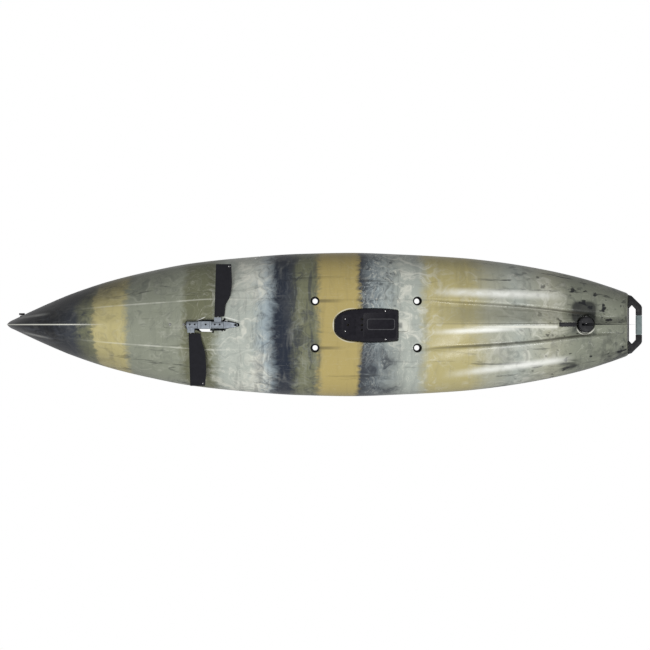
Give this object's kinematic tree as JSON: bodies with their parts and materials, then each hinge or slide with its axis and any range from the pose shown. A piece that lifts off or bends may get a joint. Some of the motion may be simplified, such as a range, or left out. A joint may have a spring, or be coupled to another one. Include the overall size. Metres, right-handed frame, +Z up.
{
  "type": "pedal kayak",
  "caption": "Sit-on-top fishing kayak with a flat-bottomed moulded hull, a pedal drive with sweeping fins, a folding rudder, hatches and a folding seat.",
  "frame": {"origin": "middle of the overall length and beam, on the floor under the flat bottom", "axes": "-X to the bow, +X to the stern, +Y to starboard, +Z up to the deck"},
  "size_m": [3.888, 0.876, 0.5697],
  "materials": {
    "hull_plastic": "rotomoulded polyethylene, marbled in olive, tan, grey and charcoal, semi-gloss",
    "lid_plastic": "moulded black plastic, satin",
    "black_plastic": "moulded black plastic, satin",
    "skid_plastic": "dark grey wear plastic, scuffed",
    "handle_plastic": "moulded black grips, satin",
    "fin_rubber": "black flexible fin, matt",
    "seal_rubber": "black rubber, matt",
    "grip_rubber": "grey-green soft grip, matt",
    "drive_metal": "cast and machined aluminium, satin, blue-grey",
    "rail_metal": "anodised extrusion, satin",
    "seat_tube": "powder-coated tube, satin black",
    "stainless": "stainless steel, polished",
    "seat_fabric": "woven mesh fabric, charcoal"
  },
  "bodies": {
    "boat": {"hull": "hull_plastic", "bow_hatch_seal": "seal_rubber", "bow_hatch_pin": "stainless", "round_hatch_ring": "black_plastic", "drive_spine": "drive_metal", "tail_bush": "black_plastic", "fin_axle": "stainless", "drive_buffer_port": "seal_rubber", "drive_buffer_starboard": "seal_rubber", "crank_shaft": "stainless", "keel_screw_front": "stainless", "keel_screw_rear": "stainless", "shield_pin": "stainless", "skid_plate": "skid_plastic", "stern_handle": "black_plastic", "stern_handle_grip": "grip_rubber", "stern_bolt_port": "stainless", "stern_bolt_starboard": "stainless", "gear_rail_port": "rail_metal", "gear_rail_starboard": "rail_metal", "rod_holder_port": "black_plastic", "rod_holder_starboard": "black_plastic", "seat_frame": "seat_tube", "seat_cushion": "seat_fabric", "bow_toggle_bracket": "black_plastic"},
    "bow_lid": {"bow_hatch_lid": "lid_plastic"},
    "port_hatch_latch": {"bow_hatch_latch_port": "black_plastic"},
    "starboard_hatch_latch": {"bow_hatch_latch_starboard": "black_plastic"},
    "round_lid": {"round_hatch_lid": "black_plastic"},
    "front_latch": {"drive_latch_front": "black_plastic"},
    "rear_latch": {"drive_latch_rear": "black_plastic"},
    "left_crank_arm": {"left_crank": "drive_metal", "left_spindle": "stainless"},
    "right_crank_arm": {"right_crank": "drive_metal", "right_spindle": "stainless"},
    "left_foot_pedal": {"left_pedal": "black_plastic"},
    "right_foot_pedal": {"right_pedal": "black_plastic"},
    "front_fin_arm": {"front_drum": "drive_metal", "front_mast": "stainless"},
    "rear_fin_arm": {"rear_drum": "drive_metal", "rear_mast": "stainless"},
    "front_fin_blade": {"front_fin": "fin_rubber", "front_fin_screw": "stainless"},
    "rear_fin_blade": {"rear_fin": "fin_rubber", "rear_fin_screw": "stainless"},
    "shield": {"shield_plate": "black_plastic", "shield_screw_1": "stainless", "shield_screw_2": "stainless", "shield_screw_3": "stainless", "shield_screw_4": "stainless"},
    "turret": {"rudder_turret": "black_plastic", "rudder_pin": "stainless"},
    "rudder": {"rudder_blade": "black_plastic"},
    "lever": {"steering_lever": "black_plastic"},
    "port_handle": {"side_handle_port": "handle_plastic"},
    "starboard_handle": {"side_handle_starboard": "handle_plastic"},
    "seat_back": {"seat_back_frame": "seat_tube", "seat_back_cushion": "seat_fabric"},
    "toggle": {"bow_toggle": "handle_plastic"},
    "plug": {"drain_plug": "black_plastic"}
  },
  "joints": [
    {"name": "bow_hatch_open", "type": "hinge", "parent": "boat", "child": "bow_lid", "pos_m": [-1.71375, 0, 0.42196], "axis": [0, -1, 0], "range_deg": [0, 100]},
    {"name": "port_hatch_latch_turn", "type": "hinge", "parent": "bow_lid", "child": "port_hatch_latch", "pos_m": [-1.29328, -0.07, 0.41443], "axis": [0.0685, 0, 0.9976], "range_deg": [0, 90]},
    {"name": "starboard_hatch_latch_turn", "type": "hinge", "parent": "bow_lid", "child": "starboard_hatch_latch", "pos_m": [-1.29328, 0.07, 0.41443], "axis": [0.0685, 0, 0.9976], "range_deg": [0, 90]},
    {"name": "round_hatch_turn", "type": "hinge", "parent": "boat", "child": "round_lid", "pos_m": [-0.33, 0, 0.15], "axis": [0, 0, 1], "range_deg": [0, 90]},
    {"name": "drive_latch_front_turn", "type": "hinge", "parent": "boat", "child": "front_latch", "pos_m": [-0.846, 0.003, 0.1626], "axis": [0, 0, 1], "range_deg": [0, 90]},
    {"name": "drive_latch_rear_turn", "type": "hinge", "parent": "boat", "child": "rear_latch", "pos_m": [-0.48, 0.003, 0.1626], "axis": [0, 0, 1], "range_deg": [0, 90]},
    {"name": "left_crank_swing", "type": "hinge", "parent": "boat", "child": "left_crank_arm", "pos_m": [-0.672, 0.003, 0.206], "axis": [0, 1, 0], "range_deg": [0, 62]},
    {"name": "right_crank_swing", "type": "hinge", "parent": "boat", "child": "right_crank_arm", "pos_m": [-0.672, 0.003, 0.206], "axis": [0, 1, 0], "range_deg": [-62, 0]},
    {"name": "left_pedal_pivot", "type": "hinge", "parent": "left_crank_arm", "child": "left_foot_pedal", "pos_m": [-0.82651, 0.003, 0.46315], "axis": [0, 1, 0], "range_deg": [-35, 35]},
    {"name": "right_pedal_pivot", "type": "hinge", "parent": "right_crank_arm", "child": "right_foot_pedal", "pos_m": [-0.51749, 0.003, 0.46315], "axis": [0, 1, 0], "range_deg": [-35, 35]},
    {"name": "front_fin_sweep", "type": "hinge", "parent": "boat", "child": "front_fin_arm", "pos_m": [-0.787, 0.003, 0.022], "axis": [1, 0, 0], "range_deg": [-186, 0]},
    {"name": "rear_fin_sweep", "type": "hinge", "parent": "boat", "child": "rear_fin_arm", "pos_m": [-0.628, 0.003, 0.022], "axis": [1, 0, 0], "range_deg": [0, 186]},
    {"name": "front_fin_twist", "type": "hinge", "parent": "front_fin_arm", "child": "front_fin_blade", "pos_m": [-0.787, 0.003, 0.022], "axis": [0, -0.9986, -0.0523], "range_deg": [-35, 0]},
    {"name": "rear_fin_twist", "type": "hinge", "parent": "rear_fin_arm", "child": "rear_fin_blade", "pos_m": [-0.628, 0.003, 0.022], "axis": [0, -0.9986, 0.0523], "range_deg": [-35, 0]},
    {"name": "shield_drop", "type": "hinge", "parent": "boat", "child": "shield", "pos_m": [0.08, 0.005, 0.013], "axis": [0, 1, 0], "range_deg": [0, 15]},
    {"name": "rudder_steer", "type": "hinge", "parent": "boat", "child": "turret", "pos_m": [1.56, 0, 0.084], "axis": [0, 0, 1], "range_deg": [-35, 35]},
    {"name": "rudder_blade_drop", "type": "hinge", "parent": "turret", "child": "rudder", "pos_m": [1.56, 0, 0.051], "axis": [0, 1, 0], "range_deg": [0, 85]},
    {"name": "steering_lever_turn", "type": "hinge", "parent": "boat", "child": "lever", "pos_m": [0.01, -0.37612, 0.29869], "axis": [0, 0, 1], "range_deg": [-35, 35]},
    {"name": "port_handle_fold", "type": "hinge", "parent": "boat", "child": "port_handle", "pos_m": [0.19, -0.37789, 0.30651], "axis": [1, 0, 0], "range_deg": [0, 90]},
    {"name": "starboard_handle_fold", "type": "hinge", "parent": "boat", "child": "starboard_handle", "pos_m": [0.19, 0.37789, 0.30651], "axis": [-1, 0, 0], "range_deg": [0, 90]},
    {"name": "seat_back_fold", "type": "hinge", "parent": "boat", "child": "seat_back", "pos_m": [0.426, 0, 0.262], "axis": [0, 1, 0], "range_deg": [-75, 0]},
    {"name": "bow_toggle_turn", "type": "hinge", "parent": "boat", "child": "toggle", "pos_m": [-1.87, -0.055, 0.38746], "axis": [0, 1, 0], "range_deg": [-90, 90]},
    {"name": "drain_plug_turn", "type": "hinge", "parent": "boat", "child": "plug", "pos_m": [1.7, 0, 0.32584], "axis": [0, 0, 1], "range_deg": [0, 180]}
  ],
  "couplings": [
    {"joint": "right_crank_swing", "follows": "left_crank_swing", "ratio": -1},
    {"joint": "front_fin_sweep", "follows": "left_crank_swing", "ratio": -3},
    {"joint": "rear_fin_sweep", "follows": "left_crank_swing", "ratio": 3},
    {"joint": "steering_lever_turn", "follows": "rudder_steer", "ratio": 1}
  ]
}
